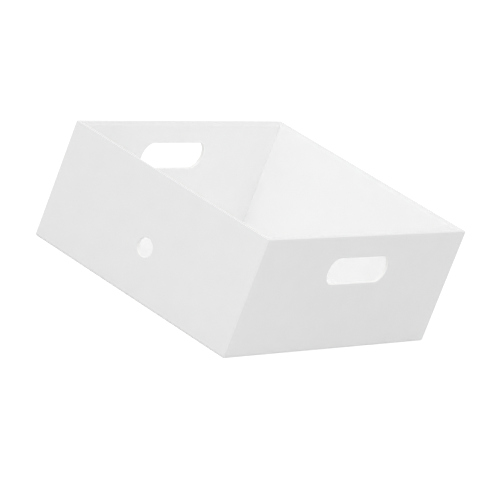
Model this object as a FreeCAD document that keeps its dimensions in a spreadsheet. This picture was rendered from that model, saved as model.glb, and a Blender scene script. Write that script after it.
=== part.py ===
"""File storage box: an open rigid box of white board, covered and lined with white paper.

The origin is the middle of the underside, +Z is up, and -Y points out of the end wall with the finger hole.
The hand holes are in the two long walls, right at +X and left at -X.
"""
import FreeCAD
import Part
import Sketcher
import math
import os

# The driving dimensions, in millimetres
SIZES = {
    # Outside of the box
    "width": 250.0,
    "length": 320.0,
    "height": 120.0,
    # Stock
    "board_thickness": 3.0,
    "cover_thickness": 0.3,
    "lining_thickness": 0.3,
    "stay_thickness": 0.3,
    "sheet_thickness": 0.3,
    # Rounding of the covered upright and base arrises, and of the folds over the rim
    "edge_radius": 1.2,
    "rim_radius": 0.5,
    # Hand holes, with full-round ends
    "grip_length": 96.0,
    "grip_height": 28.0,
    "rim_to_grip": 22.5,
    # Finger hole: its middle is this high above the surface that the box stands on
    "finger_diameter": 19.0,
    "finger_height": 49.5,
    # How far the cover paper turns over the rim and under the base
    "turn_in": 15.0,
    "turn_under": 15.0,
    # How far the wall linings stay below the rim, and the base sheet inside the walls
    "lining_drop": 3.0,
    "sheet_inset": 3.0,
    # Tape stays: the width of each leg, and the gap where one tape ends beside another paper
    "stay_leg": 20.0,
    "stay_gap": 0.5,
    # Seam of the cover paper, in the rear wall beside the left corner
    "seam_gap": 0.2,
    "seam_inset": 6.0,
}

# Levels above the surface that the box stands on
WALL_BOTTOM = "(Sizes.sheet_thickness + Sizes.cover_thickness)"
WALL_TOP = "(Sizes.height - Sizes.cover_thickness)"
BASE_TOP = "(Sizes.sheet_thickness + Sizes.board_thickness)"
TURN_IN_BOTTOM = "(Sizes.height - Sizes.turn_in)"
LINING_TOP = "(Sizes.height - Sizes.lining_drop)"
GRIP_MIDDLE = "(Sizes.height - Sizes.rim_to_grip - Sizes.grip_height / 2)"
CORNER_STAY_BOTTOM = f"({BASE_TOP} + Sizes.stay_leg + Sizes.stay_gap)"
CORNER_STAY_TOP = f"({TURN_IN_BOTTOM} - Sizes.stay_gap)"

# Half widths and half lengths to the outside and the inside of the wall boards
OUTER_X = "(Sizes.width / 2 - Sizes.cover_thickness)"
OUTER_Y = "(Sizes.length / 2 - Sizes.cover_thickness)"
INNER_X = f"({OUTER_X} - Sizes.board_thickness)"
INNER_Y = f"({OUTER_Y} - Sizes.board_thickness)"

# Half lengths of the base stays along the sides and ends
SIDE_STAY_HALF = INNER_Y
END_STAY_HALF = f"({INNER_X} - Sizes.stay_leg - Sizes.stay_gap)"

# Rounding of the boards under the cover paper
BOARD_RADIUS = "(Sizes.edge_radius - Sizes.cover_thickness)"

# The walls and the inner corners, each with its turn about Z in degrees from the front or the front left
WALLS = {"front": 0, "right_side": 90, "rear": 180, "left_side": 270}
CORNERS = {"front_left": 0, "front_right": 90, "rear_right": 180, "rear_left": 270}

# Every sketch is drawn at this size first, and its constraints then set it
START = 5.0

# Edges this near to a side of a shape's box lie on that side
TOUCHING = 0.001

doc = FreeCAD.newDocument("file_storage_box")


def make_sheet():
    sheet = doc.addObject("Spreadsheet::Sheet", "Sizes")
    for row, (alias, value) in enumerate(SIZES.items(), start=1):
        sheet.set(f"A{row}", alias)
        sheet.set(f"B{row}", str(value))
        sheet.setAlias(f"B{row}", alias)
    doc.recompute()


# Bodies and their places

def new_body(label):
    body = doc.addObject("PartDesign::Body", label)
    body.Label = label
    return body


def place(body, x="0", y="0", z="0", turn=0):
    """Turns the body about Z by whole degrees and moves it to x, y, z."""
    body.Placement = FreeCAD.Placement(FreeCAD.Vector(), FreeCAD.Rotation(FreeCAD.Vector(0, 0, 1), turn))
    for axis, text in zip("xyz", (x, y, z)):
        body.setExpression(f".Placement.Base.{axis}", text)


def place_at_wall(body, wall, reach_x, reach_y, z="0"):
    """Turns a piece made for the front wall to its own wall, at that distance from the middle."""
    turn = WALLS[wall]
    x = {90: reach_x, 270: f"-{reach_x}"}.get(turn, "0")
    y = {0: f"-{reach_y}", 180: reach_y}.get(turn, "0")
    place(body, x, y, z, turn)


def origin_plane(body, role):
    return next(item for item in body.Origin.OriginFeatures if item.Role == role)


# Sketches

def new_sketch(body, name, role, x="0", y="0", out="0"):
    """A sketch on an origin plane of the body, moved to x, y in that plane and out along its normal."""
    sketch = body.newObject("Sketcher::SketchObject", f"{body.Name}_{name}_sketch")
    sketch.AttachmentSupport = [(origin_plane(body, role), "")]
    sketch.MapMode = "FlatFace"
    for axis, text in zip("xyz", (x, y, out)):
        sketch.setExpression(f".AttachmentOffset.Base.{axis}", text)
    return sketch


def bind(sketch, text, kind, *places, start=START):
    """A constraint of that kind between those places, whose size is an expression."""
    number = sketch.addConstraint(Sketcher.Constraint(kind, *places, start))
    sketch.setExpression(f"Constraints[{number}]", text)


def draw_loop(sketch, points):
    """Straight lines through the points and back to the first, joined end to end."""
    count = len(points)
    ends = [FreeCAD.Vector(x, y, 0) for x, y in points]
    lines = []
    for number in range(count):
        line = Part.LineSegment(ends[number], ends[(number + 1) % count])
        lines.append(sketch.addGeometry(line, False))
    for number, line in enumerate(lines):
        sketch.addConstraint(Sketcher.Constraint("Coincident", line, 2, lines[(number + 1) % count], 1))
        sketch.addConstraint(Sketcher.Constraint("Vertical" if number % 2 else "Horizontal", line))
    return lines


def draw_rectangle(sketch, across, up):
    """A rectangle round the sketch's origin."""
    half = START / 2
    lines = draw_loop(sketch, [(-half, -half), (half, -half), (half, half), (-half, half)])
    sketch.addConstraint(Sketcher.Constraint("Symmetric", lines[0], 1, lines[2], 1, -1, 1))
    bind(sketch, across, "DistanceX", lines[0], 1, lines[0], 2)
    bind(sketch, up, "DistanceY", lines[1], 1, lines[1], 2)


def draw_circle(sketch, diameter):
    """A circle round the sketch's origin."""
    circle = sketch.addGeometry(Part.Circle(FreeCAD.Vector(), FreeCAD.Vector(0, 0, 1), START / 2), False)
    sketch.addConstraint(Sketcher.Constraint("Coincident", circle, 3, -1, 1))
    bind(sketch, diameter, "Diameter", circle)


def draw_stadium(sketch, length, height):
    """A slot round the sketch's origin, with full-round ends to the left and right."""
    half = START / 2
    quarter = math.pi / 2
    normal = FreeCAD.Vector(0, 0, 1)
    low_line = Part.LineSegment(FreeCAD.Vector(-half, -START, 0), FreeCAD.Vector(half, -START, 0))
    high_line = Part.LineSegment(FreeCAD.Vector(half, START, 0), FreeCAD.Vector(-half, START, 0))
    right_arc = Part.ArcOfCircle(Part.Circle(FreeCAD.Vector(half, 0, 0), normal, START), -quarter, quarter)
    left_arc = Part.ArcOfCircle(Part.Circle(FreeCAD.Vector(-half, 0, 0), normal, START), quarter, 3 * quarter)
    outline = (low_line, right_arc, high_line, left_arc)
    low, right, high, left = [sketch.addGeometry(item, False) for item in outline]
    for before, after in ((low, right), (right, high), (high, left), (left, low)):
        sketch.addConstraint(Sketcher.Constraint("Tangent", before, 2, after, 1))
    sketch.addConstraint(Sketcher.Constraint("Horizontal", low))
    sketch.addConstraint(Sketcher.Constraint("Horizontal", high))
    sketch.addConstraint(Sketcher.Constraint("Symmetric", left, 3, right, 3, -1, 1))
    bind(sketch, f"{length} - {height}", "DistanceX", left, 3, right, 3)
    bind(sketch, f"{height} / 2", "Radius", right)


def draw_angle(sketch, leg, thickness):
    """An L with its outer corner on the sketch's origin and its legs along +x and +y."""
    thin = START / 4
    lines = draw_loop(sketch, [(0, 0), (START, 0), (START, thin), (thin, thin), (thin, START), (0, START)])
    sketch.addConstraint(Sketcher.Constraint("Coincident", lines[0], 1, -1, 1))
    sketch.addConstraint(Sketcher.Constraint("Equal", lines[0], lines[5]))
    sketch.addConstraint(Sketcher.Constraint("Equal", lines[1], lines[4]))
    bind(sketch, f"{leg} + {thickness}", "DistanceX", lines[0], 1, lines[0], 2)
    bind(sketch, thickness, "DistanceY", lines[1], 1, lines[1], 2, start=thin)


# Features

def pad(body, name, sketch, depth, backwards=False, both_ways=False):
    """A pad along the sketch's normal, or against it."""
    feature = body.newObject("PartDesign::Pad", f"{body.Name}_{name}")
    feature.Profile = sketch
    feature.Reversed = backwards
    feature.Midplane = both_ways
    feature.setExpression("Length", depth)
    doc.recompute()


def pocket(body, name, sketch, depth=None, forwards=False, both_ways=False):
    """A pocket against the sketch's normal, or along it, through everything where no depth is given."""
    before = body.Shape.Volume
    feature = body.newObject("PartDesign::Pocket", f"{body.Name}_{name}")
    feature.Profile = sketch
    feature.Reversed = forwards
    feature.Midplane = both_ways
    if depth is None:
        feature.Type = "ThroughAll"
    else:
        feature.setExpression("Length", depth)
    doc.recompute()
    if not body.Shape.Volume < before:
        raise RuntimeError(f"{body.Label}: {name} cuts nothing")
    return feature


def mirror(body, feature, role):
    """The feature again on the other side of an origin plane of the body."""
    mirrored = body.newObject("PartDesign::Mirrored", f"{feature.Name}_mirrored")
    mirrored.Originals = [feature]
    mirrored.MirrorPlane = (origin_plane(body, role), [""])
    body.Tip = mirrored
    doc.recompute()


def edges_on(shape, sides):
    """Names of the edges that lie on all the given sides of the shape's box, such as ("y-", "z-")."""
    whole = shape.BoundBox
    limits = {"x-": whole.XMin, "x+": whole.XMax, "y-": whole.YMin, "y+": whole.YMax,
              "z-": whole.ZMin, "z+": whole.ZMax}
    names = []
    for number, edge in enumerate(shape.Edges, start=1):
        box = edge.BoundBox
        spans = {"x": (box.XMin, box.XMax), "y": (box.YMin, box.YMax), "z": (box.ZMin, box.ZMax)}
        if all(abs(value - limits[side]) < TOUCHING for side in sides for value in spans[side[0]]):
            names.append(f"Edge{number}")
    return names


def fillet(body, name, groups, radius):
    """Rounds the edges of the body's last feature that lie on each group of sides."""
    last = body.Tip
    names = [edge for sides in groups for edge in edges_on(last.Shape, sides)]
    feature = body.newObject("PartDesign::Fillet", f"{body.Name}_{name}")
    feature.Base = (last, names)
    feature.setExpression("Radius", radius)
    doc.recompute()


# Boards

def sink(body, name, across, up, x, z, depth):
    """A shallow rectangle sunk into the inner face of a wall board."""
    sketch = new_sketch(body, name, "XZ_Plane", x, z, "-Sizes.board_thickness")
    draw_rectangle(sketch, across, up)
    return pocket(body, name, sketch, depth, forwards=True)


def cut_opening(body, wall):
    """The hand hole or finger hole that a wall has, through its board or its lining."""
    if wall == "front":
        hole = new_sketch(body, "finger_hole", "XZ_Plane", "0", "Sizes.finger_height")
        draw_circle(hole, "Sizes.finger_diameter")
        pocket(body, "finger_hole", hole)
    elif wall != "rear":
        hole = new_sketch(body, "grip", "XZ_Plane", "0", GRIP_MIDDLE)
        draw_stadium(hole, "Sizes.grip_length", "Sizes.grip_height")
        pocket(body, "grip", hole)


def wall_board(wall):
    """One wall. Its own x runs along the wall, its y from the outer face inwards, and its z is the box's."""
    body = new_body(f"{wall}_board")
    is_side = wall.endswith("side")
    # The side boards run past the end boards, so their rebates reach on by one more thickness
    half = OUTER_Y if is_side else INNER_X
    inner_half = INNER_Y if is_side else INNER_X
    lap = 1 if is_side else 0

    panel = new_sketch(body, "panel", "XZ_Plane", "0", f"({WALL_TOP} + {WALL_BOTTOM}) / 2")
    draw_rectangle(panel, f"2 * {half}", f"{WALL_TOP} - {WALL_BOTTOM}")
    pad(body, "panel", panel, "Sizes.board_thickness", backwards=True)
    arrises = [("y-", "z-")]
    if is_side:
        arrises += [("x-", "y-"), ("x+", "y-"), ("x-", "z-"), ("x+", "z-")]
    fillet(body, "arrises", arrises, BOARD_RADIUS)

    sink(body, "turn_in_rebate", f"2 * ({inner_half} + {lap} * Sizes.cover_thickness)",
         f"{WALL_TOP} - {TURN_IN_BOTTOM}",
         "0", f"({WALL_TOP} + {TURN_IN_BOTTOM}) / 2", "Sizes.cover_thickness")
    base_half = SIDE_STAY_HALF if is_side else END_STAY_HALF
    sink(body, "base_stay_rebate", f"2 * {base_half}", "Sizes.stay_leg + Sizes.stay_thickness",
         "0", f"{BASE_TOP} + (Sizes.stay_leg - Sizes.stay_thickness) / 2", "Sizes.stay_thickness")
    corner = sink(body, "corner_stay_rebate", f"Sizes.stay_leg + {lap} * Sizes.stay_thickness",
                  f"{CORNER_STAY_TOP} - {CORNER_STAY_BOTTOM}",
                  f"{inner_half} - (Sizes.stay_leg - {lap} * Sizes.stay_thickness) / 2",
                  f"({CORNER_STAY_TOP} + {CORNER_STAY_BOTTOM}) / 2", "Sizes.stay_thickness")
    mirror(body, corner, "YZ_Plane")
    cut_opening(body, wall)
    place_at_wall(body, wall, OUTER_X, OUTER_Y)
    return body


def base_board():
    """The board between the four walls, sunk round its underside for the turned-under cover paper."""
    body = new_body("base_board")
    slab = new_sketch(body, "slab", "XY_Plane", out="Sizes.sheet_thickness")
    draw_rectangle(slab, f"2 * {INNER_X}", f"2 * {INNER_Y}")
    pad(body, "slab", slab, "Sizes.board_thickness")

    border = new_sketch(body, "turn_under_rebate", "XY_Plane", out="Sizes.sheet_thickness")
    draw_rectangle(border, f"2 * {INNER_X}", f"2 * {INNER_Y}")
    draw_rectangle(border, "Sizes.width - 2 * Sizes.turn_under", "Sizes.length - 2 * Sizes.turn_under")
    pocket(body, "turn_under_rebate", border, "Sizes.cover_thickness", forwards=True)

    leg = "Sizes.stay_leg"
    side = new_sketch(body, "side_stay_rebate", "XY_Plane", f"{INNER_X} - {leg} / 2", "0", BASE_TOP)
    draw_rectangle(side, leg, f"2 * {SIDE_STAY_HALF}")
    mirror(body, pocket(body, "side_stay_rebate", side, "Sizes.stay_thickness"), "YZ_Plane")
    end = new_sketch(body, "end_stay_rebate", "XY_Plane", "0", f"{INNER_Y} - {leg} / 2", BASE_TOP)
    draw_rectangle(end, f"2 * {END_STAY_HALF}", leg)
    mirror(body, pocket(body, "end_stay_rebate", end, "Sizes.stay_thickness"), "XZ_Plane")
    return body


# Tape stays

def corner_stay(corner):
    """Tape up one inner corner, above the base stays and below the turned-in cover paper."""
    body = new_body(f"{corner}_stay")
    angle = new_sketch(body, "angle", "XY_Plane")
    draw_angle(angle, "Sizes.stay_leg", "Sizes.stay_thickness")
    pad(body, "angle", angle, f"{CORNER_STAY_TOP} - {CORNER_STAY_BOTTOM}")
    sign_x = "-" if "left" in corner else ""
    sign_y = "-" if "front" in corner else ""
    place(body, f"{sign_x}({INNER_X} + Sizes.stay_thickness)", f"{sign_y}({INNER_Y} + Sizes.stay_thickness)",
          CORNER_STAY_BOTTOM, CORNERS[corner])
    return body


def base_stay(wall):
    """Tape along the inner edge where one wall meets the base."""
    body = new_body(f"{wall.replace('_side', '')}_base_stay")
    angle = new_sketch(body, "angle", "YZ_Plane")
    draw_angle(angle, "Sizes.stay_leg", "Sizes.stay_thickness")
    half = SIDE_STAY_HALF if wall.endswith("side") else END_STAY_HALF
    pad(body, "angle", angle, f"2 * {half}", both_ways=True)
    place_at_wall(body, wall, f"({INNER_X} + Sizes.stay_thickness)", f"({INNER_Y} + Sizes.stay_thickness)",
                  f"{BASE_TOP} - Sizes.stay_thickness")
    return body


# Papers

def rounded_block(label, half_x, half_y, bottom, top, radius):
    """A block with rounded upright and base arrises."""
    body = new_body(label)
    outline = new_sketch(body, "outline", "XY_Plane", out=bottom)
    draw_rectangle(outline, f"2 * {half_x}", f"2 * {half_y}")
    pad(body, "outline", outline, f"{top} - {bottom}")
    fillet(body, "uprights", [("x-", "y-"), ("x+", "y-"), ("x-", "y+"), ("x+", "y+")], radius)
    fillet(body, "base_arrises", [("z-",)], radius)
    return body


def wall_wrap():
    """The cover paper: one strip round the walls, folded over the rim and under the base."""
    body = rounded_block("wall_wrap", "(Sizes.width / 2)", "(Sizes.length / 2)", "Sizes.sheet_thickness",
                         "Sizes.height", "Sizes.edge_radius")
    core = rounded_block("space_inside_wrap", OUTER_X, OUTER_Y, WALL_BOTTOM, WALL_TOP, BOARD_RADIUS)
    hollow = body.newObject("PartDesign::Boolean", "wall_wrap_hollow")
    hollow.Type = "Cut"
    hollow.setObjects([core])
    doc.recompute()

    turned = new_sketch(body, "turn_in", "XY_Plane", out=WALL_TOP)
    draw_rectangle(turned, f"2 * {INNER_X}", f"2 * {INNER_Y}")
    draw_rectangle(turned, f"2 * ({INNER_X} + Sizes.cover_thickness)",
                   f"2 * ({INNER_Y} + Sizes.cover_thickness)")
    pad(body, "turn_in", turned, f"{WALL_TOP} - {TURN_IN_BOTTOM}", backwards=True)
    mouth = new_sketch(body, "mouth", "XY_Plane", out="Sizes.height")
    draw_rectangle(mouth, f"2 * {INNER_X}", f"2 * {INNER_Y}")
    pocket(body, "mouth", mouth, "Sizes.cover_thickness")
    fillet(body, "rim_folds", [("z+",)], "Sizes.rim_radius")

    under = new_sketch(body, "underside", "XY_Plane", out=WALL_BOTTOM)
    draw_rectangle(under, "Sizes.width - 2 * Sizes.turn_under", "Sizes.length - 2 * Sizes.turn_under")
    pocket(body, "underside", under, "Sizes.cover_thickness")
    grips = new_sketch(body, "grips", "YZ_Plane", "0", GRIP_MIDDLE)
    draw_stadium(grips, "Sizes.grip_length", "Sizes.grip_height")
    pocket(body, "grips", grips, both_ways=True)
    finger = new_sketch(body, "finger_hole", "XZ_Plane", "0", "Sizes.finger_height", "Sizes.length / 2")
    draw_circle(finger, "Sizes.finger_diameter")
    pocket(body, "finger_hole", finger, "Sizes.cover_thickness")
    seam = new_sketch(body, "seam", "XZ_Plane", "Sizes.seam_inset - Sizes.width / 2", "Sizes.height / 2",
                      "-Sizes.length / 2")
    draw_rectangle(seam, "Sizes.seam_gap", "Sizes.height")
    pocket(body, "seam", seam, "Sizes.turn_under", forwards=True)
    return body


def wall_lining(wall):
    """The paper on the inside of one wall, from the base board to just under the rim."""
    body = new_body(f"{wall}_lining")
    half = INNER_Y if wall.endswith("side") else f"({INNER_X} - Sizes.lining_thickness)"
    panel = new_sketch(body, "panel", "XZ_Plane", "0", f"({LINING_TOP} + {BASE_TOP}) / 2")
    draw_rectangle(panel, f"2 * {half}", f"{LINING_TOP} - {BASE_TOP}")
    pad(body, "panel", panel, "Sizes.lining_thickness", backwards=True)
    cut_opening(body, wall)
    place_at_wall(body, wall, INNER_X, INNER_Y)
    return body


def flat_sheet(label, across, up, level, thickness):
    """A paper that lies flat on the floor of the box or under it."""
    body = new_body(label)
    outline = new_sketch(body, "outline", "XY_Plane", out=level)
    draw_rectangle(outline, across, up)
    pad(body, "outline", outline, thickness)
    return body


def floor_lining():
    return flat_sheet("floor_lining", f"2 * ({INNER_X} - Sizes.lining_thickness)",
                      f"2 * ({INNER_Y} - Sizes.lining_thickness)", BASE_TOP, "Sizes.lining_thickness")


def base_sheet():
    return flat_sheet("base_sheet", "Sizes.width - 2 * Sizes.sheet_inset",
                      "Sizes.length - 2 * Sizes.sheet_inset", "0", "Sizes.sheet_thickness")


def save(bodies):
    """Checks every object of the document, then writes one file for each piece."""
    doc.recompute()
    for item in doc.Objects:
        if "Invalid" in item.State or "Error" in item.State:
            raise RuntimeError(f"{item.Label} failed: {item.State}")
    for body in bodies:
        if body.Shape.isNull() or not body.Shape.isValid():
            raise RuntimeError(f"{body.Label} has no sound shape")
    os.makedirs("parts", exist_ok=True)
    for body in bodies:
        body.Shape.exportStep(f"parts/{body.Label}.step")
        print(f"{body.Label}: {len(body.Shape.Solids)} solid, {body.Shape.Volume:.0f} mm3")


make_sheet()
pieces = [base_board()]
pieces += [wall_board(wall) for wall in WALLS]
pieces += [corner_stay(corner) for corner in CORNERS]
pieces += [base_stay(wall) for wall in WALLS]
pieces.append(wall_wrap())
pieces += [wall_lining(wall) for wall in WALLS]
pieces.append(floor_lining())
pieces.append(base_sheet())
save(pieces)
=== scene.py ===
"""File storage box: its papers, the finish of its boards and tapes, and the studio that shows it.

Lengths are in metres. Every paper lies on boards and has two skins: a face with the paper's folds, joints
and pressed edges, and a plain back. Where a face isn't perfectly flat, it is sunk towards its back.
"""
import math
from collections import namedtuple

import bmesh
import bpy
from bpy.props import FloatProperty, FloatVectorProperty, PointerProperty
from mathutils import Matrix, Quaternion, Vector, noise


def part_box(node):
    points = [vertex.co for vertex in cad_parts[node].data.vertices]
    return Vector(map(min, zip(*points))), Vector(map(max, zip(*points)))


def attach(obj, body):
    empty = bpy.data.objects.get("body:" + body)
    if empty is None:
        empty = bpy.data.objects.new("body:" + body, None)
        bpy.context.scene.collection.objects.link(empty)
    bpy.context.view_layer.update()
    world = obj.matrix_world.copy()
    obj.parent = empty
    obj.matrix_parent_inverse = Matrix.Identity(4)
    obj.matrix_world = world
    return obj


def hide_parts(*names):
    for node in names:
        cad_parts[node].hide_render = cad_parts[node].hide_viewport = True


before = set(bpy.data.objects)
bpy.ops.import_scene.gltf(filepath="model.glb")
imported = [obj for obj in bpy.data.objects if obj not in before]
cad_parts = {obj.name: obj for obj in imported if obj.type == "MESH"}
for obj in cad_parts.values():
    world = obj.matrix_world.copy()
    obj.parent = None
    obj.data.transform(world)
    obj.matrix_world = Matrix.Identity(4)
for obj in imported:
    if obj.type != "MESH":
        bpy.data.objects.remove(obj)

bl_info = {
    "name": "File storage box",
    "version": (1, 0, 0),
    "blender": (4, 5, 0),
    "location": "View3D > Sidebar > File box",
    "description": "Covers and lines a board storage box, and sets up the studio round it",
    "category": "Add Mesh",
}

BODY = "root"
MM = 0.001
DEGREE = math.pi / 180
QUARTER = math.pi / 2
UP = Vector((0, 0, 1))
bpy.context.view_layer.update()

# The outside of the box, and the boards inside it
WRAP_LOW, WRAP_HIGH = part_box("wall_wrap")
SIDE_LOW, SIDE_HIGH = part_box("right_side_board")
HALF_WIDTH, HALF_LENGTH, TOP = WRAP_HIGH
WRAP_BOTTOM = WRAP_LOW.z
COVER_THICKNESS = HALF_WIDTH - SIDE_HIGH.x
RIM_WIDTH = HALF_WIDTH - SIDE_LOW.x

# In a CAD paper, what lies this far inside its border belongs to its hole
BORDER = 1 * MM

# Heights this near to each other are the same, and a hole with a shorter straight part is round
SAME_HEIGHT = 0.01 * MM
SHORTEST_STRAIGHT = 1 * MM

# Mesh lines at a sheet's cut edge, round a hole, across the seam in widths of it, and round a corner
SHEET_EDGE = [0.0, 0.1 * MM, 0.25 * MM]
HOLE_COLLAR = [2.0 * MM, 1.3 * MM, 0.9 * MM, 0.6 * MM, 0.35 * MM, 0.15 * MM, 0.0]
FEWEST_RINGS = 4
ACROSS_SEAM = [-0.6, -0.4, 0.4, 0.6]
MITRE_TURN = 45 * DEGREE
CORNER_TURNS = [11 * DEGREE, 23 * DEGREE, 35 * DEGREE, MITRE_TURN, 55 * DEGREE, 67 * DEGREE, 79 * DEGREE]

# Mesh lines across the cover paper where it is bent, on the rim, and where it is turned in and under
EDGE_BEND_STEPS = 6
RIM_BEND_STEPS = 5
RIM_STEP = 0.8 * MM
TURNED_STEP = 3 * MM

# Decimals that leave a quarter turn's sine and cosine as plain 0 and 1
DECIMALS = 9

# Faces that meet at more than this keep a sharp edge between them
SHARP_FROM = 50 * DEGREE

# Nearly all of a noise texture's values lie between these
NOISE_LOW = 0.3
NOISE_HIGH = 0.7

# How many times deeper the grain of fibres and of cut board is than the coated paper's
FIBRE_GRAIN = 3
CORE_GRAIN = 4

# Along its plies a board has this share of the lumps that it has across them
ALONG_PLY = 0.02

# Half the floor's width, how far the floor comes in under the box, and the camera's sensor in millimetres
FLOOR_REACH = 12
FLOOR_UNDER_BOX = 2.5 * MM
SENSOR_WIDTH = 36

Hole = namedtuple("Hole", "middle straight radius")
Plane = namedtuple("Plane", "across up facing level")
Wall = namedtuple("Wall", "name half plane hole")
Station = namedtuple("Station", "wall along turn")
Level = namedtuple("Level", "out height side up")


# What the papers are measured from

def hole_in(node):
    """The round-ended hole in an upright paper: its middle's height, half its straight part, radius."""
    low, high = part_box(node)
    axis = 0 if high.x - low.x > high.y - low.y else 1
    inside = []
    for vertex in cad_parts[node].data.vertices:
        along, height = vertex.co[axis], vertex.co.z
        if abs(along) < high[axis] - BORDER and low.z + BORDER < height < high.z - BORDER:
            inside.append((along, height))
    if not inside:
        return None
    top, bottom = max(height for _, height in inside), min(height for _, height in inside)
    middle = (top + bottom) / 2
    straight = max(along for along, height in inside if top - height < SAME_HEIGHT)
    if straight < SHORTEST_STRAIGHT:
        return Hole(middle, 0.0, max(math.hypot(along, height - middle) for along, height in inside))
    return Hole(middle, straight, top - middle)


def lowest_turned_in():
    """Height of the cover paper's cut edge inside the box."""
    points = [vertex.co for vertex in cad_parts["wall_wrap"].data.vertices]
    inside = [point.z for point in points if abs(point.x - SIDE_LOW.x) < COVER_THICKNESS / 2]
    return min(height for height in inside if height > TOP / 2)


def width_turned_under():
    """How far the cover paper comes in under the base."""
    points = [vertex.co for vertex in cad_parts["wall_wrap"].data.vertices]
    under = [point.x for point in points if point.x > 0 and point.z < WRAP_BOTTOM + SAME_HEIGHT]
    return HALF_WIDTH - min(under)


def make_walls():
    """The walls in the order in which the cover paper goes round them, starting at the front."""
    walls = []
    for number, name in enumerate(("front", "right_side", "rear", "left_side")):
        along = Vector((round(math.cos(number * QUARTER)), round(math.sin(number * QUARTER)), 0))
        out = Vector((along.y, -along.x, 0))
        half, reach = (HALF_LENGTH, HALF_WIDTH) if number % 2 else (HALF_WIDTH, HALF_LENGTH)
        walls.append(Wall(name, half, Plane(along, UP, out, reach), hole_in(f"{name}_lining")))
    return walls


WALLS = make_walls()
TURN_IN_BOTTOM = lowest_turned_in()
TURN_UNDER = width_turned_under()


# Settings that a user would change

class FileBoxPaper(bpy.types.PropertyGroup):
    """How the papers are folded, cut and laid"""
    edge_radius: FloatProperty(
        name="Edge radius", description="Rounding of the upright edges and the base edges",
        default=1.2 * MM, unit="LENGTH")
    rim_roll: FloatProperty(
        name="Rim roll", description="Rounding of the two folds over the rim", default=0.5 * MM,
        unit="LENGTH")
    corner_bend: FloatProperty(
        name="Corner bend", description="Tightest bend of the paper in a corner", default=0.4 * MM,
        unit="LENGTH")
    mitre_depth: FloatProperty(
        name="Mitre depth", description="Depth of the fold in the paper at a corner of the rim or the base",
        default=0.12 * MM, unit="LENGTH")
    seam_inset: FloatProperty(
        name="Seam inset", description="From the left rear corner to the cover paper's seam",
        default=6 * MM, unit="LENGTH")
    seam_width: FloatProperty(
        name="Seam width", description="Gap between the two ends of the cover paper", default=0.2 * MM,
        unit="LENGTH")
    seam_depth: FloatProperty(
        name="Seam depth", description="Depth of the seam", default=0.22 * MM, unit="LENGTH")
    press_width: FloatProperty(
        name="Pressed width", description="Width that the cutting die presses down round a hole",
        default=0.9 * MM, unit="LENGTH")
    press_depth: FloatProperty(
        name="Pressed depth", description="Depth that the cutting die presses down at a hole's edge",
        default=0.12 * MM, unit="LENGTH")
    edge_drop: FloatProperty(
        name="Edge drop", description="How far a sheet's cut edge is pressed down", default=0.12 * MM,
        unit="LENGTH")
    wave_height: FloatProperty(
        name="Wave height", description="Unevenness of a paper that is glued down", default=0.06 * MM,
        unit="LENGTH")
    wave_length: FloatProperty(
        name="Wave length", description="Distance between the waves of a glued paper", default=32 * MM,
        unit="LENGTH")
    wave_margin: FloatProperty(
        name="Wave margin", description="Width beside a fold, a cut or a hole where the waves fade",
        default=12 * MM, unit="LENGTH")
    mesh_step: FloatProperty(
        name="Mesh step", description="Distance between the mesh lines of a paper", default=5 * MM,
        unit="LENGTH")


class FileBoxFinish(bpy.types.PropertyGroup):
    """Colours and surfaces of the papers, boards and tapes"""
    # Cover and linings are the same white paper. The lining colour is painted lighter than the cover
    # colour: painted light, for the brighter light inside the box.
    cover_colour: FloatVectorProperty(
        name="Cover paper", description="Colour of the paper outside", default=(0.835, 0.835, 0.835),
        subtype="COLOR", min=0, max=1)
    lining_colour_painted_lighter: FloatVectorProperty(
        name="Lining paper", description="Colour of the papers inside", default=(0.96, 0.96, 0.96),
        subtype="COLOR", min=0, max=1)
    base_colour: FloatVectorProperty(
        name="Base paper", description="Colour of the paper under the base", default=(0.86, 0.86, 0.855),
        subtype="COLOR", min=0, max=1)
    # The board's cut edges are set whiter than the cover paper: partly the board's own white core, partly
    # painted light for the light they get from inside the box.
    board_colour: FloatVectorProperty(
        name="Board", description="Colour of the board where it is cut", default=(0.94, 0.94, 0.93),
        subtype="COLOR", min=0, max=1)
    tape_colour: FloatVectorProperty(
        name="Tape", description="Colour of the gummed tape in the corners", default=(0.8, 0.79, 0.76),
        subtype="COLOR", min=0, max=1)
    paper_roughness: FloatProperty(
        name="Paper roughness", description="Roughness of the coated papers", default=0.55, min=0, max=1)
    board_roughness: FloatProperty(
        name="Board roughness", description="Roughness of bare board and plain paper", default=0.8, min=0,
        max=1)
    grain_depth: FloatProperty(
        name="Grain depth", description="Depth of the fibres in a coated paper", default=0.02 * MM,
        unit="LENGTH")


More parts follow.
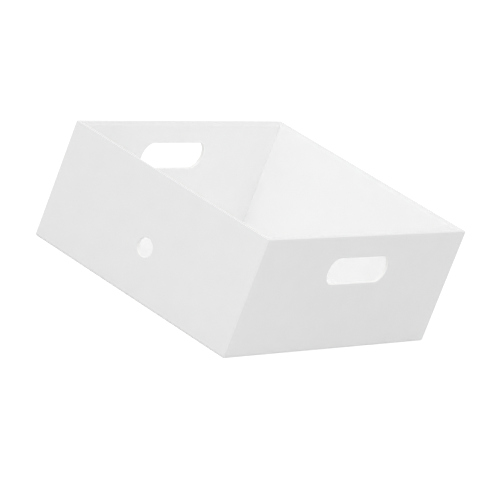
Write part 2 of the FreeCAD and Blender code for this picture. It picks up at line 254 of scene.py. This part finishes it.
class FileBoxStudio(bpy.types.PropertyGroup):
    """Floor, light and camera"""
    floor_colour: FloatVectorProperty(
        name="Floor", description="Colour of the floor", default=(0.8, 0.8, 0.8), subtype="COLOR", min=0,
        max=1)
    floor_glow: FloatProperty(
        name="Floor glow", description="Light added to what the camera sees of the floor", default=0.4,
        min=0)
    sky_level: FloatProperty(
        name="Sky level", description="Strength of the even light from all round", default=0.83, min=0)
    key_level: FloatProperty(
        name="Key level", description="Light of the large lamp on a level face, as a share of white",
        default=0.185, min=0)
    key_place: FloatVectorProperty(
        name="Key place", description="Middle of the large lamp, which looks at the box",
        default=(0.49, -1.35, 2.05), subtype="TRANSLATION", unit="LENGTH")
    key_size: FloatProperty(
        name="Key size", description="Width of the large lamp", default=1.8, unit="LENGTH")
    camera_azimuth: FloatProperty(
        name="Azimuth", description="Turn of the line of sight from the front towards the right side",
        default=33.66 * DEGREE, subtype="ANGLE")
    camera_elevation: FloatProperty(
        name="Elevation", description="How steeply the camera looks down", default=17.1 * DEGREE,
        subtype="ANGLE")
    camera_roll: FloatProperty(
        name="Roll", description="Tilt of the camera about its line of sight", default=21.11 * DEGREE,
        subtype="ANGLE")
    camera_distance: FloatProperty(
        name="Distance", description="From the camera to the point that it looks at", default=3.09,
        unit="LENGTH")
    camera_target: FloatVectorProperty(
        name="Target", description="Point in the middle of the picture",
        default=(4.87 * MM, -2.59 * MM, 44.28 * MM), subtype="TRANSLATION", unit="LENGTH")
    camera_lens: FloatProperty(
        name="Lens", description="Focal length in millimetres, for a sensor 36 mm wide", default=231.6)


# How a glued paper lies

def ease(share):
    """Rises smoothly from 0 to 1 as the share does."""
    share = min(max(share, 0.0), 1.0)
    return share * share * (3 - 2 * share)


def hole_gap(hole, across, up):
    """Distance from a place on a plane to the edge of its hole."""
    return math.hypot(max(abs(across) - hole.straight, 0), up - hole.middle) - hole.radius


def hole_point(hole, across, up, gap):
    """The place that far outside the hole's edge, in the direction of the place that is given."""
    radius = hole.radius + gap
    length = math.hypot(across, up - hole.middle)
    right, rise = across / length, (up - hole.middle) / length
    if radius * abs(right) < hole.straight * abs(rise):
        reach = radius / abs(rise)
    else:
        reach = hole.straight * abs(right) + math.sqrt(radius ** 2 - (hole.straight * rise) ** 2)
    return right * reach, hole.middle + rise * reach


def relief(paper, plane, hole, across, up, border):
    """How deep a paper's face lies at a place that far from its nearest fold or cut edge."""
    pressed = 0.0
    if hole is not None:
        gap = hole_gap(hole, across, up)
        pressed = paper.press_depth * max(1 - gap / paper.press_width, 0) ** 2
        border = min(border, gap)
    place = Vector((across, up, plane.level)) / paper.wave_length + plane.facing
    wave = paper.wave_height * (1 + noise.noise(place)) / 2
    return pressed + wave * ease(border / paper.wave_margin)


def on_plane(plane, across, up, depth):
    """Point of a plane in space, that far behind it."""
    return plane.across * across + plane.up * up + plane.facing * (plane.level - depth)


# Mesh

def spread(low, high, step, extra=()):
    """Even places about a step apart, and the extra places instead of the even ones near them."""
    count = max(round((high - low) / step), 1)
    even = [low + (high - low) * number / count for number in range(1, count)]
    kept = [place for place in even if all(abs(place - other) > step / 2 for other in extra)]
    return [low, *sorted([*kept, *extra]), high]


def make_grid(bm, columns, rows, point, left_open=(), closed=False):
    """Quads over a grid of points, without the keys left open. Gives back the vertices by their keys."""
    made = {}
    for row in range(rows):
        for column in range(columns):
            if (column, row) not in left_open:
                made[column, row] = bm.verts.new(point(column, row))
    for row in range(rows - 1):
        for column in range(columns if closed else columns - 1):
            following = (column + 1) % columns
            keys = [(column, row), (following, row), (following, row + 1), (column, row + 1)]
            if all(key in made for key in keys):
                bm.faces.new([made[key] for key in keys])
    return made


def keys_inside(left, right, low, high):
    """Keys of a block of the grid, without those round it."""
    return {(column, row) for column in range(left + 1, right) for row in range(low + 1, high)}


def keys_round(left, right, low, high):
    """Keys round a block of the grid, in order."""
    return [*((column, low) for column in range(left, right)),
            *((right, row) for row in range(low, high)),
            *((column, high) for column in range(right, left, -1)),
            *((left, row) for row in range(high, low, -1))]


def bridge(bm, before, after):
    """Quads between two closed rings of vertices."""
    for number, vertex in enumerate(before):
        following = (number + 1) % len(before)
        bm.faces.new((vertex, before[following], after[following], after[number]))


def fill_to_hole(bm, ring, places, hole, point, step):
    """Rings of quads from a ring of vertices, with their places, to the edge of the hole inside it."""
    collar = [hole_point(hole, across, up, HOLE_COLLAR[0]) for across, up in places]
    longest = max(math.dist(place, near) for place, near in zip(places, collar))
    count = max(round(longest / step), FEWEST_RINGS)
    rings = [ring]
    for number in range(1, count):
        share = number / count
        rings.append([bm.verts.new(point(place[0] + (near[0] - place[0]) * share,
                                         place[1] + (near[1] - place[1]) * share))
                      for place, near in zip(places, collar)])
    for gap in HOLE_COLLAR:
        rings.append([bm.verts.new(point(*hole_point(hole, across, up, gap))) for across, up in places])
    for before, after in zip(rings, rings[1:]):
        bridge(bm, before, after)
    return rings[-1]


def close_skins(bm, face, back):
    """Joins the rings at the edges of the face to those of the back."""
    for before, after in zip(face, back):
        bridge(bm, before, after)
    bmesh.ops.recalc_face_normals(bm, faces=bm.faces)
    if any(not edge.is_manifold for edge in bm.edges):
        raise RuntimeError("a paper isn't closed")


def add_piece(name, bm, node, material):
    """Makes the piece that stands for a CAD node, and gives back its mesh."""
    mesh = bpy.data.meshes.new(name)
    bm.to_mesh(mesh)
    bm.free()
    mesh.polygons.foreach_set("use_smooth", [True] * len(mesh.polygons))
    mesh.set_sharp_from_angle(angle=SHARP_FROM)
    mesh.materials.append(material)
    piece = bpy.data.objects.new(name, mesh)
    bpy.context.scene.collection.objects.link(piece)
    shading = piece.modifiers.new("Flat faces stay flat", "WEIGHTED_NORMAL")
    shading.keep_sharp = True
    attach(piece, BODY)
    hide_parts(node)
    return mesh


# Cover paper

def stations_round(paper):
    """The upright lines down the cover paper, and the first and last of them on each wall."""
    stations, blocks = [], []
    for wall in WALLS:
        end = wall.half - paper.edge_radius
        seam_lines = ()
        if wall.name == "rear":
            seam = wall.half - paper.seam_inset
            seam_lines = [seam + paper.seam_width * away for away in ACROSS_SEAM]
        first = len(stations)
        stations += [Station(wall, along, 0) for along in spread(-end, end, paper.mesh_step, seam_lines)]
        blocks.append((wall, first, len(stations) - 1))
        stations += [Station(wall, end, turn) for turn in CORNER_TURNS]
    return stations, blocks


def bend_levels(middle_out, middle_height, radius, start, end, steps):
    """Levels round one bend of the section. Turn 0 looks out from the wall, and a quarter looks up."""
    levels = []
    for number in range(steps + 1):
        turn = start + (end - start) * number / steps
        side, up = round(math.cos(turn), DECIMALS), round(math.sin(turn), DECIMALS)
        levels.append(Level(middle_out + radius * side, middle_height + radius * up, side, up))
    return levels


def section_levels(paper, depth):
    """The cover paper's section at that depth, from its edge under the base over the rim to that inside.

    Each level has its place out from the wall's outside, its height, and the way that the face looks.
    """
    edge, roll = paper.edge_radius, paper.rim_roll
    base_bend = bend_levels(-edge, WRAP_BOTTOM + edge, edge - depth, -QUARTER, 0, EDGE_BEND_STEPS)
    outer_bend = bend_levels(-roll, TOP - roll, roll - depth, 0, QUARTER, RIM_BEND_STEPS)
    inner_bend = bend_levels(roll - RIM_WIDTH, TOP - roll, roll - depth, QUARTER, 2 * QUARTER,
                             RIM_BEND_STEPS)
    under = spread(-TURN_UNDER, -edge, TURNED_STEP)[:-1]
    upright = spread(base_bend[-1].height, outer_bend[0].height, paper.mesh_step)[1:-1]
    rim = spread(roll - RIM_WIDTH, -roll, RIM_STEP)[1:-1]
    inside = spread(TURN_IN_BOTTOM, inner_bend[-1].height, TURNED_STEP)[:-1]
    return [*(Level(out, WRAP_BOTTOM + depth, 0, -1) for out in under),
            *base_bend,
            *(Level(-depth, height, 1, 0) for height in upright),
            *outer_bend,
            *(Level(out, TOP - depth, 0, 1) for out in reversed(rim)),
            *inner_bend,
            *(Level(depth - RIM_WIDTH, height, -1, 0) for height in reversed(inside))]


def groove(paper, station, level):
    """Depth of the seam, or of a corner's fold, in the cover paper's face."""
    if station.turn == MITRE_TURN:
        return paper.mitre_depth * (1 - max(level.side, 0))
    if station.turn or station.wall.name != "rear":
        return 0.0
    away = abs(station.along - (station.wall.half - paper.seam_inset))
    return paper.seam_depth if away < paper.seam_width / 2 else 0.0


def wall_relief(paper, wall, along, height):
    """How deep the cover paper's face lies at a place on a wall."""
    border = min(wall.half - abs(along), TOP - height, height) - 2 * paper.edge_radius
    return relief(paper, wall.plane, wall.hole, along, height, border)


def cover_point(paper, station, level, depth):
    """Point of the cover paper where a station crosses a level."""
    wall, plane = station.wall, station.wall.plane
    bend = max(paper.edge_radius + level.out, paper.corner_bend)
    end = wall.half + level.out - bend
    looking = plane.facing
    if station.turn:
        looking = plane.facing * math.cos(station.turn) + plane.across * math.sin(station.turn)
        flat = plane.facing * (plane.level + level.out - bend) + plane.across * end + looking * bend
    elif level.height < TOP / 2:
        squeezed = station.along * end / (wall.half - paper.edge_radius)
        flat = plane.facing * (plane.level + level.out) + plane.across * squeezed
    else:
        along = max(-end, min(station.along, end))
        flat = plane.facing * (plane.level + level.out) + plane.across * along
    sunk = 0.0
    if depth == 0:
        sunk = groove(paper, station, level)
        if level.side == 1 and not station.turn:
            sunk += wall_relief(paper, wall, station.along, level.height)
    return flat + UP * level.height - (looking * level.side + UP * level.up) * sunk


def cover_skin(bm, paper, depth):
    """One side of the cover paper. Gives back its rings: at its two long edges and round each hole."""
    stations, blocks = stations_round(paper)
    levels = section_levels(paper, depth)
    upright = [row for row, level in enumerate(levels) if level.side == 1]
    low, high = upright[0], upright[-1]
    holed = [block for block in blocks if block[0].hole]
    left_open = set()
    for _, left, right in holed:
        left_open |= keys_inside(left, right, low, high)
    made = make_grid(bm, len(stations), len(levels),
                     lambda column, row: cover_point(paper, stations[column], levels[row], depth),
                     left_open, closed=True)
    rings = [[made[column, row] for column in range(len(stations))] for row in (0, len(levels) - 1)]
    for wall, left, right in holed:
        keys = keys_round(left, right, low, high)
        places = [(stations[column].along, levels[row].height) for column, row in keys]

        def point(along, height, wall=wall):
            sunk = depth or wall_relief(paper, wall, along, height)
            return on_plane(wall.plane, along, height, sunk)

        ring = [made[key] for key in keys]
        rings.append(fill_to_hole(bm, ring, places, wall.hole, point, paper.mesh_step))
    return rings


def paint_turn_in_lighter(mesh, material):
    """Gives the part of the cover paper that is turned in over the rim the lining's lighter colour: the
    same paper, painted lighter as painted light for the brighter light inside the box.
    """
    mesh.materials.append(material)
    inset = RIM_WIDTH - COVER_THICKNESS / 2
    for face in mesh.polygons:
        place = face.center
        within = abs(place.x) < HALF_WIDTH - inset and abs(place.y) < HALF_LENGTH - inset
        if within and place.z > TOP / 2:
            face.material_index = 1


class FILE_BOX_OT_cover_paper(bpy.types.Operator):
    """Wrap the cover paper round the walls, in over the rim and under the base"""
    bl_idname = "file_box.cover_paper"
    bl_label = "Cover paper"

    def execute(self, context):
        paper = context.scene.file_box_paper
        finish = context.scene.file_box_finish
        bm = bmesh.new()
        close_skins(bm, cover_skin(bm, paper, 0), cover_skin(bm, paper, COVER_THICKNESS))
        material = coated_paper("coated_cover_paper", finish.cover_colour, finish)
        mesh = add_piece("cover_paper", bm, "wall_wrap", material)
        # The turned-in cover paper is painted lighter inside the box: painted light.
        paint_turn_in_lighter(mesh, lining_paper(finish))
        return {"FINISHED"}


# Flat sheets

def sheet_lines(low, high, step):
    """Mesh lines across a sheet, close together at its two cut edges."""
    inset = SHEET_EDGE[-1]
    before = [low + place for place in SHEET_EDGE[:-1]]
    after = [high - place for place in reversed(SHEET_EDGE[:-1])]
    return [*before, *spread(low + inset, high - inset, step), *after]


def sheet_skin(bm, paper, plane, half, low, high, hole, depth):
    """One side of a flat sheet. Gives back its rings: round its outline and round its hole."""
    columns = sheet_lines(-half, half, paper.mesh_step)
    rows = sheet_lines(low, high, paper.mesh_step)

    def point(across, up):
        sunk = depth
        if depth == 0:
            border = min(half - abs(across), up - low, high - up)
            dropped = paper.edge_drop * max(1 - border / SHEET_EDGE[-1], 0) ** 2
            sunk = dropped + relief(paper, plane, hole, across, up, border)
        return on_plane(plane, across, up, sunk)

    edge = len(SHEET_EDGE) - 1
    last_column, last_row = len(columns) - 1, len(rows) - 1
    block = (edge, last_column - edge, edge, last_row - edge)
    made = make_grid(bm, len(columns), len(rows), lambda column, row: point(columns[column], rows[row]),
                     keys_inside(*block) if hole else ())
    rings = [[made[key] for key in keys_round(0, last_column, 0, last_row)]]
    if hole:
        keys = keys_round(*block)
        places = [(columns[column], rows[row]) for column, row in keys]
        rings.append(fill_to_hole(bm, [made[key] for key in keys], places, hole, point, paper.mesh_step))
    return rings


def lay_sheet(name, node, plane, half, low, high, hole, thickness, material):
    """A flat sheet of paper on its board, from low to high along the plane's upward direction."""
    paper = bpy.context.scene.file_box_paper
    bm = bmesh.new()
    face = sheet_skin(bm, paper, plane, half, low, high, hole, 0)
    back = sheet_skin(bm, paper, plane, half, low, high, hole, thickness)
    close_skins(bm, face, back)
    add_piece(name, bm, node, material)


class FILE_BOX_OT_wall_linings(bpy.types.Operator):
    """Line the inside of the four walls"""
    bl_idname = "file_box.wall_linings"
    bl_label = "Wall linings"

    def execute(self, context):
        material = lining_paper(context.scene.file_box_finish)
        for wall in WALLS:
            node = f"{wall.name}_lining"
            low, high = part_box(node)
            near, far = sorted(abs(corner.dot(wall.plane.facing)) for corner in (low, high))
            half = abs(high.dot(wall.plane.across))
            plane = Plane(wall.plane.across, UP, -wall.plane.facing, -near)
            lay_sheet(f"{wall.name}_lining_paper", node, plane, half, low.z, high.z,
                      wall.hole, far - near, material)
        return {"FINISHED"}


class FILE_BOX_OT_floor_lining(bpy.types.Operator):
    """Line the floor of the box"""
    bl_idname = "file_box.floor_lining"
    bl_label = "Floor lining"

    def execute(self, context):
        low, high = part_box("floor_lining")
        plane = Plane(Vector((1, 0, 0)), Vector((0, 1, 0)), UP, high.z)
        lay_sheet("floor_lining_paper", "floor_lining", plane, high.x, low.y, high.y, None,
                  high.z - low.z, lining_paper(context.scene.file_box_finish))
        return {"FINISHED"}


class FILE_BOX_OT_base_sheet(bpy.types.Operator):
    """Lay the paper over the underside"""
    bl_idname = "file_box.base_sheet"
    bl_label = "Base sheet"

    def execute(self, context):
        finish = context.scene.file_box_finish
        low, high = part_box("base_sheet")
        plane = Plane(Vector((1, 0, 0)), Vector((0, 1, 0)), -UP, -low.z)
        material = plain_paper("plain_base_paper", finish.base_colour, finish)
        lay_sheet("base_sheet_paper", "base_sheet", plane, high.x, low.y, high.y, None,
                  high.z - low.z, material)
        return {"FINISHED"}


# Finishes

def new_material(name, colour, roughness):
    """A material of one even colour, to which the surface is then added."""
    material = bpy.data.materials.new(name)
    material.use_nodes = True
    material.diffuse_color = (*colour, 1)
    shader = material.node_tree.nodes["Principled BSDF"]
    shader.inputs["Base Color"].default_value = (*colour, 1)
    shader.inputs["Roughness"].default_value = roughness
    return material


def add_noise(material, lumps, detail, stretch=(1, 1, 1)):
    """Noise with that many lumps to a metre along an axis of stretch 1, and fewer where it is less."""
    nodes, links = material.node_tree.nodes, material.node_tree.links
    place = nodes.new("ShaderNodeTexCoord")
    mapping = nodes.new("ShaderNodeMapping")
    mapping.inputs["Scale"].default_value = stretch
    texture = nodes.new("ShaderNodeTexNoise")
    texture.inputs["Scale"].default_value = lumps
    texture.inputs["Detail"].default_value = detail
    links.new(place.outputs["Object"], mapping.inputs["Vector"])
    links.new(mapping.outputs["Vector"], texture.inputs["Vector"])
    return texture.outputs["Fac"]


def vary_colour(material, colour, amount, pattern):
    """Makes the colour darker and lighter by that share of it, as the pattern goes."""
    nodes, links = material.node_tree.nodes, material.node_tree.links
    ramp = nodes.new("ShaderNodeValToRGB")
    darker, lighter = ramp.color_ramp.elements
    darker.position, lighter.position = NOISE_LOW, NOISE_HIGH
    darker.color = (*(part * (1 - amount) for part in colour), 1)
    lighter.color = (*(min(part * (1 + amount), 1) for part in colour), 1)
    links.new(pattern, ramp.inputs["Fac"])
    links.new(ramp.outputs["Color"], nodes["Principled BSDF"].inputs["Base Color"])


def vary_roughness(material, roughness, amount, pattern):
    """Makes the surface smoother and rougher by that amount, as the pattern goes."""
    nodes, links = material.node_tree.nodes, material.node_tree.links
    limits = nodes.new("ShaderNodeMapRange")
    limits.inputs["From Min"].default_value = NOISE_LOW
    limits.inputs["From Max"].default_value = NOISE_HIGH
    limits.inputs["To Min"].default_value = roughness - amount
    limits.inputs["To Max"].default_value = roughness + amount
    links.new(pattern, limits.inputs["Value"])
    links.new(limits.outputs["Result"], nodes["Principled BSDF"].inputs["Roughness"])


def add_grain(material, depth, pattern):
    """Raises and sinks the surface by that depth, as the pattern goes."""
    nodes, links = material.node_tree.nodes, material.node_tree.links
    bump = nodes.new("ShaderNodeBump")
    bump.inputs["Distance"].default_value = depth
    links.new(pattern, bump.inputs["Height"])
    links.new(bump.outputs["Normal"], nodes["Principled BSDF"].inputs["Normal"])


def coated_paper(name, colour, finish):
    """Smooth matt coated paper: faint clouds in its colour and gloss, and a very fine grain."""
    material = new_material(name, colour, finish.paper_roughness)
    clouds = add_noise(material, lumps=45, detail=3)
    vary_colour(material, colour, amount=0.008, pattern=clouds)
    gloss = add_noise(material, lumps=180, detail=2)
    vary_roughness(material, finish.paper_roughness, amount=0.04, pattern=gloss)
    grain = add_noise(material, lumps=1600, detail=4)
    add_grain(material, finish.grain_depth, grain)
    return material


def lining_paper(finish):
    """The one finish of the papers inside the box, painted lighter than the cover outside as painted light
    for the brighter light in there.
    """
    made = bpy.data.materials.get("coated_lining_paper_painted_lighter")
    return made or coated_paper("coated_lining_paper_painted_lighter", finish.lining_colour_painted_lighter, finish)


def plain_paper(name, colour, finish):
    """Uncoated paper: fibres that show in its colour and its grain."""
    material = new_material(name, colour, finish.board_roughness)
    fibres = add_noise(material, lumps=500, detail=5, stretch=(0.35, 1, 1))
    vary_colour(material, colour, amount=0.03, pattern=fibres)
    gloss = add_noise(material, lumps=60, detail=2)
    vary_roughness(material, finish.board_roughness, amount=0.05, pattern=gloss)
    add_grain(material, FIBRE_GRAIN * finish.grain_depth, fibres)
    return material


def board_core(name, colour, finish, plies):
    """Pasteboard, which shows its plies where it is cut: they are thin along the axis where plies is 1."""
    material = new_material(name, colour, finish.board_roughness)
    layers = add_noise(material, lumps=2600, detail=3, stretch=plies)
    vary_colour(material, colour, amount=0.035, pattern=layers)
    gloss = add_noise(material, lumps=400, detail=3)
    vary_roughness(material, finish.board_roughness, amount=0.06, pattern=gloss)
    add_grain(material, CORE_GRAIN * finish.grain_depth, layers)
    return material


def gummed_tape(name, colour, finish):
    """Gummed paper tape: fibres and a slightly shiny, uneven face."""
    material = new_material(name, colour, finish.paper_roughness)
    fibres = add_noise(material, lumps=700, detail=4, stretch=(1, 1, 0.2))
    vary_colour(material, colour, amount=0.04, pattern=fibres)
    gloss = add_noise(material, lumps=90, detail=3)
    vary_roughness(material, finish.paper_roughness, amount=0.1, pattern=gloss)
    add_grain(material, FIBRE_GRAIN * finish.grain_depth, fibres)
    return material


def dress(node, material):
    """Gives a CAD node its finish."""
    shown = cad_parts[node]
    if not shown.material_slots:
        shown.data.materials.append(material)
    for slot in shown.material_slots:
        slot.material = material


class FILE_BOX_OT_boards(bpy.types.Operator):
    """Give the five boards their finish, with the plies of each along its own face"""
    bl_idname = "file_box.boards"
    bl_label = "Boards"

    def execute(self, context):
        finish = context.scene.file_box_finish
        for thin_axis, nodes in {
            "x": ("left_side_board", "right_side_board"),
            "y": ("front_board", "rear_board"),
            "z": ("base_board",),
        }.items():
            plies = [1 if axis == thin_axis else ALONG_PLY for axis in "xyz"]
            material = board_core(f"board_core_{thin_axis}", finish.board_colour, finish, plies)
            for node in nodes:
                dress(node, material)
        return {"FINISHED"}


class FILE_BOX_OT_stays(bpy.types.Operator):
    """Give the tapes in the corners their finish"""
    bl_idname = "file_box.stays"
    bl_label = "Corner and base tapes"

    def execute(self, context):
        finish = context.scene.file_box_finish
        material = gummed_tape("gummed_tape", finish.tape_colour, finish)
        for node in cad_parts:
            if node.endswith("_stay"):
                dress(node, material)
        return {"FINISHED"}


# Studio

def seen_directly(tree):
    """1 for the rays of the camera, of gloss and of glass, and 0 for the rays that light things."""
    rays = tree.nodes.new("ShaderNodeLightPath")
    seen = rays.outputs["Is Camera Ray"]
    for name in ("Is Glossy Ray", "Is Transmission Ray"):
        either = tree.nodes.new("ShaderNodeMath")
        either.operation = "MAXIMUM"
        tree.links.new(seen, either.inputs[0])
        tree.links.new(rays.outputs[name], either.inputs[1])
        seen = either.outputs["Value"]
    return seen


def set_where_seen(tree, socket, otherwise, seen_value):
    """Sets a strength by the kind of ray: one value where it is seen directly, another where it lights."""
    values = tree.nodes.new("ShaderNodeMapRange")
    values.inputs["To Min"].default_value = otherwise
    values.inputs["To Max"].default_value = seen_value
    tree.links.new(seen_directly(tree), values.inputs["Value"])
    tree.links.new(values.outputs["Result"], socket)


def floor_finish(studio):
    """Floor that looks white, keeps the box's shadow and is clear from below."""
    material = bpy.data.materials.new("studio_floor")
    material.use_nodes = True
    tree = material.node_tree
    tree.nodes.remove(tree.nodes["Principled BSDF"])
    diffuse = tree.nodes.new("ShaderNodeBsdfDiffuse")
    diffuse.inputs["Color"].default_value = (*studio.floor_colour, 1)
    glow = tree.nodes.new("ShaderNodeEmission")
    set_where_seen(tree, glow.inputs["Strength"], otherwise=0, seen_value=studio.floor_glow)
    lit = tree.nodes.new("ShaderNodeAddShader")
    tree.links.new(diffuse.outputs["BSDF"], lit.inputs[0])
    tree.links.new(glow.outputs["Emission"], lit.inputs[1])
    clear = tree.nodes.new("ShaderNodeBsdfTransparent")
    geometry = tree.nodes.new("ShaderNodeNewGeometry")
    two_sided = tree.nodes.new("ShaderNodeMixShader")
    tree.links.new(geometry.outputs["Backfacing"], two_sided.inputs["Fac"])
    tree.links.new(lit.outputs["Shader"], two_sided.inputs[1])
    tree.links.new(clear.outputs["BSDF"], two_sided.inputs[2])
    tree.links.new(two_sided.outputs["Shader"], tree.nodes["Material Output"].inputs["Surface"])
    return material


def make_floor(studio):
    """A wide level floor, open under the box so that light reaches the underside."""
    bm = bmesh.new()
    opening = (HALF_WIDTH - FLOOR_UNDER_BOX, HALF_LENGTH - FLOOR_UNDER_BOX)
    rings = []
    for wide, long in (opening, (FLOOR_REACH, FLOOR_REACH)):
        corners = ((-wide, -long), (wide, -long), (wide, long), (-wide, long))
        rings.append([bm.verts.new((x, y, 0)) for x, y in corners])
    bridge(bm, rings[1], rings[0])
    mesh = bpy.data.meshes.new("studio_floor")
    bm.to_mesh(mesh)
    bm.free()
    mesh.materials.append(floor_finish(studio))
    floor = bpy.data.objects.new("studio_floor", mesh)
    bpy.context.scene.collection.objects.link(floor)


def make_sky(studio):
    """Even light from all round, in front of which the box stands on white."""
    world = bpy.data.worlds.new("studio_sky")
    world.use_nodes = True
    background = world.node_tree.nodes["Background"]
    background.inputs["Color"].default_value = (1, 1, 1, 1)
    strength = background.inputs["Strength"]
    set_where_seen(world.node_tree, strength, otherwise=studio.sky_level, seen_value=1)
    bpy.context.scene.world = world


def make_key(studio):
    """The large soft lamp above, strong enough to give a level face about its share of white.

    A far lamp gives a face square to it power / (pi * distance ** 2), and an all white sky gives it pi.
    """
    place = Vector(studio.key_place)
    lamp = bpy.data.lights.new("key_lamp", "AREA")
    lamp.shape = "DISK"
    lamp.size = studio.key_size
    lamp.energy = studio.key_level * math.pi ** 2 * place.length ** 3 / place.z
    holder = bpy.data.objects.new("key_lamp", lamp)
    holder.location = place
    holder.rotation_mode = "QUATERNION"
    holder.rotation_quaternion = place.to_track_quat("Z", "Y")
    bpy.context.scene.collection.objects.link(holder)


def make_camera(studio):
    """The photograph's point of view, from above the right front corner, with its tilt."""
    turn, rise = studio.camera_azimuth, studio.camera_elevation
    towards_eye = Vector((math.sin(turn) * math.cos(rise), -math.cos(turn) * math.cos(rise),
                          math.sin(rise)))
    lens = bpy.data.cameras.new("camera")
    lens.sensor_width = SENSOR_WIDTH
    lens.lens = studio.camera_lens
    camera = bpy.data.objects.new("camera", lens)
    camera.location = Vector(studio.camera_target) + towards_eye * studio.camera_distance
    camera.rotation_mode = "QUATERNION"
    tilt = Quaternion((0, 0, 1), studio.camera_roll)
    camera.rotation_quaternion = towards_eye.to_track_quat("Z", "Y") @ tilt
    bpy.context.scene.collection.objects.link(camera)
    bpy.context.scene.camera = camera


class FILE_BOX_OT_stage(bpy.types.Operator):
    """Set up the floor, the light and the camera"""
    bl_idname = "file_box.stage"
    bl_label = "Studio"

    def execute(self, context):
        studio = context.scene.file_box_studio
        make_floor(studio)
        make_sky(studio)
        make_key(studio)
        make_camera(studio)
        context.scene.view_settings.view_transform = "Standard"
        return {"FINISHED"}


# Add-on

SETTINGS = {
    "file_box_paper": FileBoxPaper,
    "file_box_finish": FileBoxFinish,
    "file_box_studio": FileBoxStudio,
}
STEPS = (
    FILE_BOX_OT_stage,
    FILE_BOX_OT_boards,
    FILE_BOX_OT_stays,
    FILE_BOX_OT_cover_paper,
    FILE_BOX_OT_wall_linings,
    FILE_BOX_OT_floor_lining,
    FILE_BOX_OT_base_sheet,
)


class VIEW3D_PT_file_box(bpy.types.Panel):
    """The box's settings, and the steps that make it"""
    bl_label = "File box"
    bl_space_type = "VIEW_3D"
    bl_region_type = "UI"
    bl_category = "File box"

    def draw(self, context):
        for name, group in SETTINGS.items():
            column = self.layout.column(align=True)
            for setting in group.__annotations__:
                column.prop(getattr(context.scene, name), setting)
        for step in STEPS:
            self.layout.operator(step.bl_idname)


def register():
    """Makes the settings, the steps and the panel known."""
    for kind in (*SETTINGS.values(), *STEPS, VIEW3D_PT_file_box):
        bpy.utils.register_class(kind)
    for name, group in SETTINGS.items():
        setattr(bpy.types.Scene, name, PointerProperty(type=group))


def unregister():
    """Takes away what register made known."""
    for name in SETTINGS:
        delattr(bpy.types.Scene, name)
    for kind in reversed((*SETTINGS.values(), *STEPS, VIEW3D_PT_file_box)):
        bpy.utils.unregister_class(kind)


def main():
    """Makes the box and its studio."""
    register()
    for step in STEPS:
        folder, name = step.bl_idname.split(".")
        getattr(getattr(bpy.ops, folder), name)()


if __name__ == "__main__":
    main()
